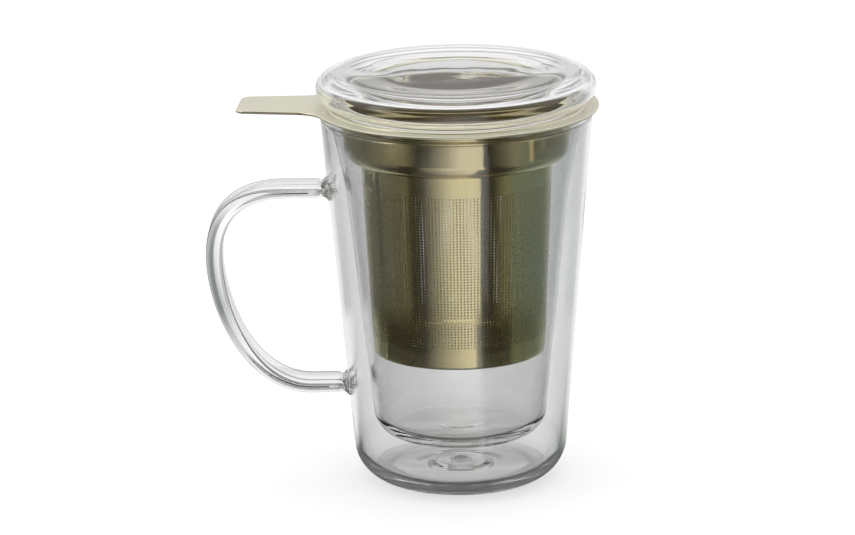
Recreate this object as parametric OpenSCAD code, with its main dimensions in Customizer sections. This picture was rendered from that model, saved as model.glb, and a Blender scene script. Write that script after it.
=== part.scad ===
// Double-wall glass tea mug with a lift-out infuser basket and a loose glass lid.
// The origin is on the mug's axis at table height, +Z is up and the handle points to -X.

/* [Mug glass] */
// Outer diameter of the mug at its rim
mug_rim_d = 85; // [78:0.5:100]
// Height of the glass rim above the table
mug_h = 118.9; // [108:0.1:140]
// Diameter of the outer wall, carried straight down to the table
mug_foot_d = 65.2; // [60:0.2:72]
// Thickness of the outer glass
outer_wall = 1.8; // [1.2:0.1:2.4]
// Thickness of the base glass, which the wall thickens into round the corner
base_t = 3.2; // [1.8:0.1:4]
// Radius of the corner between the outer wall and the base
base_corner_r = 12; // [8:0.5:14]
// Thickness of the inner glass
cup_wall = 1.6; // [1.2:0.1:2.2]
// Thickness of the inner cup's floor
cup_floor_t = 2.8; // [1.6:0.1:4]
// Height of the underside of the inner cup above the table
cup_floor_z = 14.7; // [10:0.1:22]
// Radius of the inner cup's bottom corner
cup_corner_r = 8; // [5:0.5:12]
// Air gap between the two glasses at the inner cup's floor
gap_low = 5.5; // [4:0.1:7]
// Air gap between the two glasses where the flare starts
gap_high = 4; // [3:0.1:5]
// Air gap between the two glasses where it closes under the rim
gap_rim = 1.4; // [1:0.1:2.4]
// Depth below the rim at which the inner cup starts to flare
flare_depth = 30.9; // [20:0.1:40]
// Depth of the fused rim, from its top to the joint with the outer glass
rim_depth = 3.4; // [2.5:0.1:6]
// Height of the rounding on top of the rim
rim_round = 1.8; // [1:0.1:2.2]

/* [Base vent] */
// Rise of the base's underside inside the foot ring
base_kick = 1.6; // [1.4:0.1:3]
// Width of the ring that the mug stands on
foot_ring_w = 5; // [3:0.1:7]
// Width of the slope between the foot ring and the raised middle
kick_slope_w = 5; // [3:0.1:7]
// Diameter of the vent hole in the base
vent_d = 6; // [4:0.1:8]
// Diameter of the vent plug's head
plug_head_d = 16; // [12:0.1:20]
// Thickness of the vent plug's head
plug_head_t = 1.1; // [0.8:0.1:1.3]
// Height of the vent plug's barb above the glass inside the base
plug_barb_h = 1.2; // [0.8:0.1:2]
// Amount by which the vent plug's barb is wider than its hole, each side
plug_barb_w = 0.6; // [0.3:0.1:1]

/* [Handle] */
// Height of the upper arm's centreline
handle_top_z = 93.9; // [88:0.1:100]
// Height of the lower arm's centreline
handle_low_z = 30.5; // [26:0.1:40]
// Height at which the handle stands furthest out
handle_crown_z = 73; // [66:0.5:78]
// Distance from the mug's wall to the centreline at that height
handle_reach = 37.6; // [28:0.1:45]
// Length of the upper arm's straight stretch
handle_top_arm = 13.6; // [9:0.1:18]
// Length of the lower arm's straight stretch
handle_low_arm = 10.9; // [8:0.1:16]
// Width of the glass strip
handle_w = 12; // [9:0.5:16]
// Thickness of the glass strip at its arms
handle_t = 4.2; // [3.4:0.1:5.5]
// Extra thickness of the strip at its outermost place
handle_swell = 1; // [0:0.1:1.6]
// Radius of the strip's long edges
handle_edge_r = 1.9; // [1:0.1:2]
// Amount by which the strip's ends spread over the wall, all round
handle_weld = 0.8; // [0:0.1:1.5]

/* [Infuser rim] */
// Thickness of the flange plate
flange_t = 0.8; // [0.6:0.1:1.2]
// Overhang of the flange beyond the mug's rim
flange_over = 1.9; // [1:0.1:4]
// Width of the raised bead that keeps the lid in place
bead_w = 1.4; // [1:0.1:2.4]
// Height of the raised bead
bead_h = 0.45; // [0.3:0.05:0.6]
// Length of the tab beyond the flange
tab_l = 23.6; // [15:0.1:32]
// Width of the tab at its tip
tab_tip_w = 20.6; // [14:0.1:24]
// Width of the tab at its root, before the fillets
tab_root_w = 23.4; // [18:0.1:28]
// Radius of the tab's tip corners
tab_corner_r = 3; // [1:0.5:6]
// Radius of the fillets between the tab and the flange
tab_fillet_r = 10; // [5:0.5:14]
// Turn of the tab away from the handle's plane
tab_turn = 4.2; // [0:0.1:12]

/* [Infuser basket] */
// Thickness of the collar's sheet
collar_wall = 0.6; // [0.4:0.1:0.8]
// Depth of the collar below the flange
collar_depth = 14.9; // [12:0.1:22]
// Radius of the collar's bottom corner
collar_corner_r = 4.5; // [3:0.1:5.2]
// Width of the shoulder from the collar's side in to the sleeve
shoulder_w = 5.3; // [5:0.1:7]
// Width of the collar's lip on top of the flange
lip_w = 1.2; // [0.8:0.1:2]
// Thickness of the collar's lip
lip_t = 0.5; // [0.3:0.1:0.8]
// Depth of the whole basket below the flange
basket_depth = 77.2; // [55:0.1:90]
// Thickness of the sleeve's sheet
sleeve_wall = 0.5; // [0.4:0.1:0.7]
// Width of the sleeve's lip on the collar's shoulder
sleeve_lip_w = 1.2; // [0.8:0.1:1.6]
// Height of the pan that closes the sleeve
pan_h = 2.8; // [2:0.1:5]
// Radius of the pan's bottom corner
pan_corner_r = 1.5; // [0.8:0.1:1.8]
// Plain band between the basket's bottom and the lowest holes
plain_low = 7.2; // [6:0.1:12]
// Plain band between the highest holes and the shoulder
plain_high = 6.7; // [3:0.1:12]
// Number of holes around the sleeve
hole_columns = 36; // [18:1:44]
// Number of rows of holes
hole_rows = 10; // [5:1:14]
// Width and height of a hole
hole_w = 1.7; // [1:0.1:2.2]

/* [Lid] */
// Inset of the lid's edge from the flange's edge
lid_inset = 0.8; // [0:0.1:2]
// Height of the lid's widest line above its foot
lid_belly_h = 5.7; // [4.5:0.1:8]
// Height of the lid's crest above its foot
lid_h = 10.7; // [9.5:0.1:14]
// Distance from the lid's edge in to its crest
lid_crest_in = 7.6; // [5:0.1:9]
// Depth of the dish in the lid's top below its crest
dish_depth = 2.8; // [2:0.1:3.4]
// Width of the slope from the crest to the dish
dish_slope_w = 16; // [10:0.5:22]
// Width of the ring that the lid stands on
lid_foot_w = 1.4; // [1:0.1:2.4]
// Height of that ring below the lid's rounded edge
lid_foot_h = 0.8; // [0.6:0.1:1.2]
// Height of the lid's recessed underside above its foot
lid_recess = 5.6; // [4:0.1:5.8]
// Width of the slope inside the lid's foot
lid_recess_slope = 0.9; // [0.4:0.1:2]

/* [Clearances] */
// Air between the infuser's flange and the glass rim under it
seat_gap = 0.3; // [0.2:0.05:0.5]
// Air between the collar and the inner cup at its closest
collar_clear = 0.65; // [0.3:0.05:1]
// Air between the basket's bottom and the inner cup
basket_clear = 0.7; // [0.4:0.05:2]
// Air between the lid's foot and the flange under it
lid_gap = 0.3; // [0.2:0.05:0.5]
// Play of the lid's foot between the collar's lip and the bead, each side
lid_play = 0.5; // [0.3:0.05:1]

/* [Hidden] */
$fn = 120;
slack = 1;              // overshoot of cutters past the faces that they cut
arc_steps = 10;         // flats in a rounded corner of a glass profile
small_steps = 5;        // flats in a small corner
flare_steps = 7;        // flats in the inner cup's flare

// Outer wall: a cone that stands on the base corner's arc
mug_rim_r = mug_rim_d / 2;
mug_foot_r = mug_foot_d / 2;
wall_slope = (mug_rim_r - mug_foot_r) / mug_h;
wall_lean = atan(wall_slope);
wall_across = outer_wall / cos(wall_lean);
join_z = mug_h - rim_depth;
function wall_out(z) = mug_foot_r + wall_slope * z;
function wall_in(z) = wall_out(z) - wall_across;
corner_x = wall_out(base_corner_r) - base_corner_r / cos(wall_lean);

// Inner cup: it follows the outer wall at a gap that narrows upwards and closes at the rim
flare_z = mug_h - flare_depth;
gap_fall = (gap_low - gap_high) / (flare_z - cup_floor_z);
function gap_line(z) = gap_low - gap_fall * (z - cup_floor_z);
function flare_share(z) = pow(max(0, (z - flare_z) / (join_z - flare_z)), 2);
function gap_at(z) = z >= join_z ? gap_rim
    : gap_line(z) * (1 - flare_share(z)) + gap_rim * flare_share(z);
function cup_out(z) = wall_in(z) - gap_at(z);
cup_slope = wall_slope + gap_fall;
cup_lean = atan(cup_slope);
cup_across = cup_wall / cos(cup_lean);
function cup_in(z) = cup_out(z) - cup_across;
cup_corner_z = cup_floor_z + cup_corner_r;
cup_corner_x = cup_out(cup_corner_z) - cup_corner_r / cos(cup_lean);
cup_top_z = mug_h - rim_round;

// Base: foot ring, slope and raised middle with the vent
foot_in_r = corner_x - foot_ring_w;
kick_r = foot_in_r - kick_slope_w;
vent_r = vent_d / 2;

// Infuser: heights hang from the flange's underside, radii come from the cup
flange_z = mug_h + seat_gap;
flange_top_z = flange_z + flange_t;
flange_r = mug_rim_r + flange_over;
collar_z = flange_z - collar_depth;
collar_r = cup_in(collar_z + collar_corner_r) - collar_clear;
lip_r = collar_r + lip_w;
basket_z = flange_z - basket_depth;
sleeve_top_z = collar_z + collar_wall;
sleeve_top_r = collar_r - shoulder_w;
sleeve_low_r = cup_in(basket_z) - basket_clear;
sleeve_slope = (sleeve_top_r - sleeve_low_r) / (collar_z - basket_z);
function sleeve_out(z) = sleeve_low_r + sleeve_slope * (z - basket_z);
pan_top_z = basket_z + pan_h;
holes_low_z = basket_z + plain_low;
holes_high_z = collar_z - plain_high - hole_w;
hole_pitch_z = (holes_high_z - holes_low_z) / (hole_rows - 1);

// Lid: its foot stands between the collar's lip and the bead
lid_z = flange_top_z + lid_gap;
lid_foot_in_r = lip_r + lid_play;
lid_foot_out_r = lid_foot_in_r + lid_foot_w;
lid_r = flange_r - lid_inset;
lid_belly_z = lid_z + lid_belly_h;
lid_top_z = lid_z + lid_h;
lid_crest_r = lid_r - lid_crest_in;
dish_r = lid_crest_r - dish_slope_w;
bead_in_r = lid_foot_out_r + lid_play;
bead_out_r = bead_in_r + bead_w;

// Points on an arc, or on an ellipse's arc where the radius is a pair
function arc(centre, radius, from, to, steps) = [
    for (i = [0:steps])
        let (a = from + (to - from) * i / steps, r = is_list(radius) ? radius : [radius, radius])
            centre + [r[0] * cos(a), r[1] * sin(a)]
];

// Points on a smooth S from one level to another
function ease(from, to, steps) = [
    for (i = [0:steps])
        let (t = i / steps)
            [from[0] + (to[0] - from[0]) * t, to[1] + (from[1] - to[1]) * (1 + cos(180 * t)) / 2]
];

module revolve(profile) {
    rotate_extrude() polygon(profile);
}

// ---- Mug ----

module outer_glass() {
    outside = concat(
        [[vent_r, base_kick], [kick_r, base_kick], [foot_in_r, 0]],
        arc([corner_x, base_corner_r], base_corner_r, -90, -wall_lean, arc_steps),
        [[wall_out(join_z), join_z]]
    );
    inside = concat(
        [[wall_in(join_z), join_z]],
        arc(
            [corner_x, base_corner_r],
            [base_corner_r - outer_wall, base_corner_r - base_t],
            -wall_lean, -90, arc_steps
        ),
        [[foot_in_r, base_t], [kick_r, base_kick + base_t], [vent_r, base_kick + base_t]]
    );
    color("lightblue", 0.4) revolve(concat(outside, inside));
}

// Height of step i of the inner cup's flare
function flare_height(i) = flare_z + (join_z - flare_z) * i / flare_steps;

// The inner cup carries the fused rim, whose roof closes the air gap
module inner_glass() {
    gap_mid_r = (wall_in(join_z) + cup_out(join_z)) / 2;
    rim_mid_r = (wall_out(cup_top_z) + cup_in(cup_top_z)) / 2;
    rim_half_w = (wall_out(cup_top_z) - cup_in(cup_top_z)) / 2;
    flare_out = [for (i = [0:flare_steps - 1]) let (z = flare_height(i)) [cup_out(z), z]];
    flare_in = [for (i = [flare_steps:-1:0]) let (z = flare_height(i)) [cup_in(z), z]];
    outside = concat(
        [[0, cup_floor_z]],
        arc([cup_corner_x, cup_corner_z], cup_corner_r, -90, -cup_lean, arc_steps),
        flare_out,
        arc([gap_mid_r, join_z], gap_rim / 2, 180, 0, small_steps),
        [[wall_out(join_z), join_z]]
    );
    rim = arc([rim_mid_r, cup_top_z], [rim_half_w, rim_round], 0, 180, arc_steps);
    inside = concat(
        flare_in,
        arc(
            [cup_corner_x, cup_corner_z],
            [cup_corner_r - cup_wall, cup_corner_r - cup_floor_t],
            -cup_lean, -90, arc_steps
        ),
        [[0, cup_floor_z + cup_floor_t]]
    );
    color("azure", 0.4) revolve(concat(outside, rim, inside));
}

// Silicone plug: a head under the glass, a stem through the vent and a barb inside
module vent_plug() {
    barb_z = base_kick + base_t;
    color("gainsboro", 0.7) revolve([
        [0, base_kick - plug_head_t],
        [plug_head_d / 2 - plug_head_t / 2, base_kick - plug_head_t],
        [plug_head_d / 2, base_kick - plug_head_t / 2],
        [plug_head_d / 2, base_kick],
        [vent_r, base_kick],
        [vent_r, barb_z],
        [vent_r + plug_barb_w, barb_z],
        [vent_r, barb_z + plug_barb_h],
        [0, barb_z + plug_barb_h]
    ]);
}

// The handle's centreline: two straight arms joined by two cubic curves
top_wall_x = wall_out(handle_top_z);
low_wall_x = wall_out(handle_low_z);
crown_x = wall_out(handle_crown_z) + handle_reach;
top_bend = [top_wall_x + handle_top_arm, handle_top_z];
low_bend = [low_wall_x + handle_low_arm, handle_low_z];
crown = [crown_x, handle_crown_z];
top_pull = 0.63;        // how far the upper curve's controls run towards its corner
crown_pull = 0.67;      // the same for the upper curve at the crown
low_crown_pull = 0.4;   // the same for the lower curve at the crown
low_pull = 0.66;        // the same for the lower curve at its bend
upper_steps = 12;
lower_steps = 14;
arm_root = 3;           // length of strip that stands inside the wall before it is trimmed
weld_len = 4;           // length over which the strip's ends spread
strip_corner_steps = 3; // flats in each long edge of the strip

function cubic(p0, p1, p2, p3, t) =
    pow(1 - t, 3) * p0 + 3 * pow(1 - t, 2) * t * p1 + 3 * (1 - t) * t * t * p2 + pow(t, 3) * p3;

upper_curve = [
    for (i = [0:upper_steps])
        cubic(
            top_bend,
            [top_bend[0] + (crown[0] - top_bend[0]) * top_pull, top_bend[1]],
            [crown[0], crown[1] + (top_bend[1] - crown[1]) * crown_pull],
            crown,
            i / upper_steps
        )
];
lower_curve = [
    for (i = [1:lower_steps])
        cubic(
            crown,
            [crown[0], crown[1] - (crown[1] - low_bend[1]) * low_crown_pull],
            [low_bend[0] + (crown[0] - low_bend[0]) * low_pull, low_bend[1]],
            low_bend,
            i / lower_steps
        )
];
centreline = concat(
    [[top_wall_x - arm_root, handle_top_z], [top_wall_x, handle_top_z], [top_wall_x + weld_len, handle_top_z]],
    upper_curve,
    lower_curve,
    [[low_wall_x + weld_len, handle_low_z], [low_wall_x, handle_low_z], [low_wall_x - arm_root, handle_low_z]]
);
rings = len(centreline);

// Unit normal of the centreline at ring i, in the handle's plane
function ring_normal(i) =
    let (
        along = centreline[min(i + 1, rings - 1)] - centreline[max(i - 1, 0)],
        size = norm(along)
    )
        [-along[1] / size, along[0] / size];

// The strip spreads at its welded ends and thickens towards the crown
function ring_spread(i) = (i < 2 || i > rings - 3) ? handle_weld : 0;
function ring_swell(i) =
    let (z = centreline[i][1])
        handle_swell * max(0, 1 - pow((z - handle_crown_z) / (handle_crown_z - handle_low_z), 2))
            * min(1, max(0, (centreline[i][0] - top_bend[0]) / (crown_x - top_bend[0])));

// Rounded rectangle of the strip at ring i: distance along the normal, then along Y
function ring_section(i) =
    let (
        half_t = (handle_t + ring_swell(i)) / 2 + ring_spread(i),
        half_w = handle_w / 2 + ring_spread(i),
        r = min(handle_edge_r, half_t - 0.1)
    )
        concat(
            arc([half_t - r, half_w - r], r, 0, 90, strip_corner_steps),
            arc([r - half_t, half_w - r], r, 90, 180, strip_corner_steps),
            arc([r - half_t, r - half_w], r, 180, 270, strip_corner_steps),
            arc([half_t - r, r - half_w], r, 270, 360, strip_corner_steps)
        );

module handle_strip() {
    sides = 4 * (strip_corner_steps + 1);
    points = [
        for (i = [0:rings - 1], s = ring_section(i))
            let (n = ring_normal(i), c = centreline[i])
                [-(c[0] + n[0] * s[0]), s[1], c[1] + n[1] * s[0]]
    ];
    skin = [
        for (i = [0:rings - 2], j = [0:sides - 1])
            let (k = (j + 1) % sides)
                [i * sides + j, i * sides + k, (i + 1) * sides + k, (i + 1) * sides + j]
    ];
    first_end = [[for (j = [sides - 1:-1:0]) j]];
    last_end = [[for (j = [0:sides - 1]) (rings - 1) * sides + j]];
    polyhedron(points = points, faces = concat(skin, first_end, last_end));
}

// Everything inside the outer wall's surface
module mug_envelope() {
    revolve(concat(
        [[0, 0]],
        arc([corner_x, base_corner_r], base_corner_r, -90, -wall_lean, arc_steps),
        [[wall_out(mug_h), mug_h], [0, mug_h]]
    ));
}

module handle() {
    color("lightcyan", 0.5) difference() {
        handle_strip();
        mug_envelope();
    }
}

// ---- Infuser ----

// Half of the tab's outline from the flange to the tip, on the +Y side, pointing to +X
tab_end = flange_r + tab_l;
tab_taper = (tab_root_w - tab_tip_w) / 2 / tab_l;
tab_bury = 0.3;         // depth by which the fillets run into the flange, for a clean union
function tab_side(x) = tab_root_w / 2 - tab_taper * (x - flange_r);
fillet_y = tab_side(flange_r) + tab_fillet_r;
fillet_x = sqrt(pow(flange_r - tab_bury + tab_fillet_r, 2) - pow(fillet_y, 2));
fillet_start = atan2(fillet_y, fillet_x) + 180;
tab_half = concat(
    arc([fillet_x, fillet_y], tab_fillet_r, fillet_start, 270, arc_steps),
    arc([tab_end - tab_corner_r, tab_side(tab_end) - tab_corner_r], tab_corner_r, 90, 0, small_steps)
);

module tab_outline() {
    half = concat([[collar_r + lip_w, 0]], tab_half);
    other = [for (i = [len(tab_half) - 1:-1:0]) [tab_half[i][0], -tab_half[i][1]]];
    rotate(180 - tab_turn) polygon(concat(half, other));
}

// Stamped plate with its tab, and a bead pressed up from below
module infuser_flange() {
    bead_r = (bead_in_r + bead_out_r) / 2;
    groove_w = bead_w / 2;
    bead_top = concat(
        arc([bead_r, flange_top_z], [bead_w / 2, bead_h], 0, 180, small_steps),
        [[bead_in_r, flange_top_z - flange_t / 4], [bead_out_r, flange_top_z - flange_t / 4]]
    );
    bead_under = concat(
        arc([bead_r, flange_z], [groove_w / 2, bead_h], 0, 180, small_steps),
        [[bead_r - groove_w / 2, flange_z - slack], [bead_r + groove_w / 2, flange_z - slack]]
    );
    color("palegoldenrod") difference() {
        union() {
            translate([0, 0, flange_z]) linear_extrude(flange_t) difference() {
                union() {
                    circle(flange_r);
                    tab_outline();
                }
                circle(collar_r);
            }
            revolve(bead_top);
        }
        revolve(bead_under);
    }
}

// Drawn collar: a lip over the flange, a straight side and a rounded shoulder
module infuser_collar() {
    corner = [collar_r - collar_corner_r, collar_z + collar_corner_r];
    color("darkkhaki") revolve(concat(
        [[sleeve_out(collar_z), collar_z]],
        arc(corner, collar_corner_r, -90, 0, arc_steps),
        [[collar_r, flange_top_z], [lip_r, flange_top_z]],
        arc([lip_r - lip_t / 2, flange_top_z + lip_t / 2], lip_t / 2, 0, 90, small_steps),
        [[collar_r - collar_wall, flange_top_z + lip_t]],
        arc(corner, collar_corner_r - collar_wall, 0, -90, arc_steps),
        [[sleeve_out(sleeve_top_z), sleeve_top_z]]
    ));
}

// One row of holes as a toothed ring, whose teeth pass through the sleeve
module hole_cutter(row) {
    z = holes_low_z + row * hole_pitch_z;
    root_r = sleeve_out(z) - sleeve_wall - 2 * slack;
    tip_r = sleeve_out(z) + 2 * slack;
    teeth = [
        for (i = [0:hole_columns - 1], k = [0:3])
            let (
                r = (k == 0 || k == 3) ? root_r : tip_r,
                side = k < 2 ? -1 : 1,
                a = (i + 0.5) * 360 / hole_columns + side * asin(hole_w / 2 / r)
            )
                [r * cos(a), r * sin(a)]
    ];
    translate([0, 0, z]) linear_extrude(hole_w) polygon(teeth);
}

// Perforated sleeve with a lip that hangs on the collar's shoulder
module infuser_sleeve() {
    inner_top_r = sleeve_out(sleeve_top_z) - sleeve_wall;
    color("tan") difference() {
        revolve([
            [sleeve_out(pan_top_z) - sleeve_wall, pan_top_z],
            [sleeve_out(pan_top_z), pan_top_z],
            [sleeve_out(sleeve_top_z), sleeve_top_z],
            [sleeve_out(sleeve_top_z) + sleeve_lip_w, sleeve_top_z],
            [sleeve_out(sleeve_top_z) + sleeve_lip_w, sleeve_top_z + sleeve_wall],
            [inner_top_r, sleeve_top_z + sleeve_wall],
            [inner_top_r, sleeve_top_z]
        ]);
        for (row = [0:hole_rows - 1]) hole_cutter(row);
    }
}

// Shallow pan butt-welded to the sleeve's lower edge
module infuser_pan() {
    corner = [sleeve_out(basket_z) - pan_corner_r, basket_z + pan_corner_r];
    color("darkgoldenrod") revolve(concat(
        [[0, basket_z]],
        arc(corner, pan_corner_r, -90, 0, small_steps),
        [[sleeve_out(pan_top_z), pan_top_z], [sleeve_out(pan_top_z) - sleeve_wall, pan_top_z]],
        arc(corner, pan_corner_r - sleeve_wall, 0, -90, small_steps),
        [[0, basket_z + sleeve_wall]]
    ));
}

// ---- Lid ----

// Solid glass: a thick rounded edge that stands on its foot, round a thinner dished disc
module lid_glass() {
    belly = [lid_foot_out_r, lid_belly_z];
    crest = [lid_crest_r, lid_belly_z];
    recess_z = lid_z + lid_recess;
    dish_z = lid_top_z - dish_depth;
    underside = concat(
        [[0, recess_z]],
        ease([lid_foot_in_r - lid_recess_slope, recess_z], [lid_foot_in_r, lid_z], small_steps),
        [[lid_foot_out_r, lid_z]],
        arc(belly, [lid_r - lid_foot_out_r, lid_belly_h - lid_foot_h], -90, 0, arc_steps)
    );
    top = concat(
        arc(crest, [lid_crest_in, lid_top_z - lid_belly_z], 90 / arc_steps, 90, arc_steps - 1),
        ease([lid_crest_r, lid_top_z], [dish_r, dish_z], arc_steps),
        [[0, dish_z]]
    );
    color("aliceblue", 0.5) revolve(concat(underside, top));
}

outer_glass();
inner_glass();
handle();
vent_plug();
infuser_flange();
infuser_collar();
infuser_sleeve();
infuser_pan();
lid_glass();
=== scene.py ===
"""Looks of a lidded double-wall glass tea mug with a gold-tone infuser.

The object's lengths are in millimetres, in the CAD part's frame, and become metres in mesh_object().
The studio's places and distances are in metres.
"""

import math

import bpy
from mathutils import Matrix, Vector, noise


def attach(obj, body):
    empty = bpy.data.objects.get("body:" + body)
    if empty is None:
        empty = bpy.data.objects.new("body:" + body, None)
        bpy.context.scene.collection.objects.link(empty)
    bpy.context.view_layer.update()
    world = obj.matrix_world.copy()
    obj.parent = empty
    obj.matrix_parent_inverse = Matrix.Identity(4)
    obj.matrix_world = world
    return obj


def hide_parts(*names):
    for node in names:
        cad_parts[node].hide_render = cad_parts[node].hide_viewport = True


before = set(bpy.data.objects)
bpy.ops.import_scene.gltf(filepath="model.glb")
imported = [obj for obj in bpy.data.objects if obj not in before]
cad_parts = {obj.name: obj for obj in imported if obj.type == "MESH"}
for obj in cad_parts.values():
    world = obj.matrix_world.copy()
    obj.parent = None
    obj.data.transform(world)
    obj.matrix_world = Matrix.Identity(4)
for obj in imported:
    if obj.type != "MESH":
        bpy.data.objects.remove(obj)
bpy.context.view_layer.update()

MM = 0.001
SEGMENTS = 256

# ---------------------------------------------------------------- sizes, as the CAD part has them
# Mug: height, outer radius at the rim and the foot, then wall, base and cup
MUG_H, MUG_RIM_R, MUG_FOOT_R = 118.9, 42.5, 32.6
OUTER_WALL, BASE_T, BASE_R = 1.8, 3.2, 12.0
CUP_WALL, CUP_FLOOR_T, CUP_FLOOR_Z, CUP_R = 1.6, 2.8, 14.7, 8.0
# Air gap: its width at the cup's floor, at the flare and at the join under the rim
GAP_LOW, GAP_HIGH, GAP_RIM = 5.5, 4.0, 1.4
FLARE_Z, JOIN_Z, RIM_ROUND = 88.0, 115.5, 1.8
# Hollow under the base, foot ring, vent hole and its plug
KICK, FOOT_RING_W, VENT_R = 1.6, 5.0, 3.0
PLUG_R, PLUG_T, PLUG_BARB_H, PLUG_BARB_W = 8.0, 1.1, 1.2, 0.6
# Handle: heights of the arms and of the point farthest out, the arms' straight lengths, the strip
HANDLE_TOP_Z, HANDLE_LOW_Z, HANDLE_CROWN_Z, HANDLE_REACH = 93.9, 30.5, 73.0, 37.6
TOP_ARM, LOW_ARM, HANDLE_W, HANDLE_T, HANDLE_SWELL, HANDLE_EDGE_R = 13.6, 10.9, 12.0, 4.2, 1.0, 1.9
# Infuser: flange with bead and tab, collar with lip, basket
FLANGE_Z, FLANGE_T, FLANGE_R = 119.2, 0.8, 44.38
BEAD_W, BEAD_H = 1.4, 0.45
TAB_L, TAB_TIP_W, TAB_ROOT_W, TAB_CORNER_R, TAB_FILLET_R, TAB_TURN = 23.6, 20.6, 23.4, 3.0, 10.0, 4.2
COLLAR_WALL, COLLAR_Z, COLLAR_CORNER_R, SHOULDER_W, COLLAR_CLEAR = 0.6, 104.3, 4.5, 5.3, 0.65
LIP_W, LIP_T = 1.2, 0.5
BASKET_Z, PAN_H, PAN_CORNER_R, SLEEVE_WALL, SLEEVE_LIP_W, SLEEVE_CLEAR = 42.0, 2.8, 1.5, 0.5, 1.2, 0.7
# Lid: its foot, the belly (widest height), the crest and the dish's slope
LID_GAP, LID_PLAY, LID_FOOT_W, LID_FOOT_H, LID_INSET = 0.3, 0.5, 1.4, 0.8, 0.8
LID_BELLY_H, LID_H, LID_CREST_IN, DISH_SLOPE_W = 5.7, 10.7, 7.6, 16.0

# ---------------------------------------------------------------- finer forms that only this scene has
GAP_POINT_H = 1.6  # the air gap's rounded top end
FOOT_ROLL, BOSS_R, BOSS_RISE, BOSS_IN = 1.0, 10.6, 0.25, 0.8  # the boss round the vent, under the base
VENT_CHAMFER = 0.3
MARK_R, MARK_W, MARK_DEPTH = 7.6, 0.7, 0.5  # the curved mark in the cup's floor
FOOT_SATIN_H = 1.7  # how high the satin ring under the foot reaches
WANDER, WANDER_SIZE = 0.07, 17.0  # the walls' unevenness
RIPPLE, RIPPLE_SIZE, RIPPLE_R, RIPPLE_FADE = 0.13, 9.0, 20, 5  # the floors' unevenness
PLUG_FACE_IN, PLUG_EDGE_IN, PLUG_SEAT_IN, PLUG_EDGE_R, PLUG_EDGE_H = 2.2, 0.6, 0.9, 0.55, 0.5
HAIR = 0.03  # keeps the plug's faces off the glass faces beside them
HANDLE_INNER_EDGE_R, HANDLE_MID_Z = 1.5, 60
# How far each bend of the handle pulls along its arm and along the crown
TOP_PULL, CROWN_PULL_UP, CROWN_PULL_DOWN, LOW_PULL = 0.63, 0.67, 0.4, 0.66
ARM_STEPS = [0, 0.25, 0.5, 0.8, 1.1, 1.5, 1.9, 2.4, 3, 3.7, 4.5, 6, 8, 10]  # finer near the weld
# Welds: a bead at the wall, a neck behind it, and lumpy glass over both
WELD_BEAD, WELD_BEAD_W = 0.8, 0.9
WELD_NECK, WELD_NECK_X, WELD_NECK_W = 0.42, 2.0, 0.8
WELD_REACH, WELD_BLEND, WELD_DEPTH = 6, 5, 0.012
LUMP, LUMP_SIZE, LUMP_X, LUMP_W = 0.34, 1.3, 1.2, 1.5
# Painted shade in the handle's glass, standing in for dark reflections: its strength, and the height and
# length of each fade
OUTER_TOP_Z, OUTER_TOP_FADE, SHADE_LOW_Z, OUTER_LOW_FADE = 95, 12, 36, 20
SIDE_LINE_SHADE, SIDE_LINE_TOP_Z, SIDE_LINE_TOP_FADE, SIDE_LINE_LOW_FADE = 0.5, 90, 8, 16
INNER_SHADE, INNER_TOP_Z, INNER_FADE = 0.1, 42, 10
# Sheet metal: the flange's edge, the bead's toe, the lip's round, and play between sheets that touch
FLANGE_SOFT, BEAD_TOE, LIP_ROUND = 0.28, 0.25, 0.45
SLIP, SEAT = 0.02, 0.01
# Perforation: the grid, and the radius at which a hole is as wide as high
HOLE_COLUMNS, HOLE_ROWS, HOLE_W, HOLES_LOW_Z, HOLES_HIGH_Z = 176, 55, 0.46, 49.2, 97.6
HOLES_MID_R, SHEET = 28.3, 0.36
# Lid: the dish, and the hollow below with its ceiling, rounded corner and undercut behind the foot
DISH_DEPTH, LID_WALL, LID_CEILING = 1.6, 1.9, 8.1
LID_CEILING_W, LID_CEILING_H, LID_UNDERCUT, LID_FOOT_SOFT, LID_HEEL_H = 3.0, 2.0, 1.1, 0.2, 1.2
LID_RIPPLE_R, LID_RIPPLE_FADE = 34, 10
DISH_RIPPLE, DISH_GRAIN, CEILING_RIPPLE = 0.09, 0.015, 0.03

WALL_SLOPE = (MUG_RIM_R - MUG_FOOT_R) / MUG_H
WALL_LEAN = math.atan(WALL_SLOPE)
WALL_ACROSS = OUTER_WALL / math.cos(WALL_LEAN)


def wall_out(z):
    return MUG_FOOT_R + WALL_SLOPE * z


def wall_in(z):
    return wall_out(z) - WALL_ACROSS


CORNER_X = wall_out(BASE_R) - BASE_R / math.cos(WALL_LEAN)
GAP_FALL = (GAP_LOW - GAP_HIGH) / (FLARE_Z - CUP_FLOOR_Z)
CUP_LEAN = math.atan(WALL_SLOPE + GAP_FALL)
CUP_ACROSS = CUP_WALL / math.cos(CUP_LEAN)


def gap_at(z):
    if z >= JOIN_Z:
        return GAP_RIM
    share = max(0.0, (z - FLARE_Z) / (JOIN_Z - FLARE_Z)) ** 2
    return (GAP_LOW - GAP_FALL * (z - CUP_FLOOR_Z)) * (1 - share) + GAP_RIM * share


def cup_out(z):
    return wall_in(z) - gap_at(z)


def cup_in(z):
    return cup_out(z) - CUP_ACROSS


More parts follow.
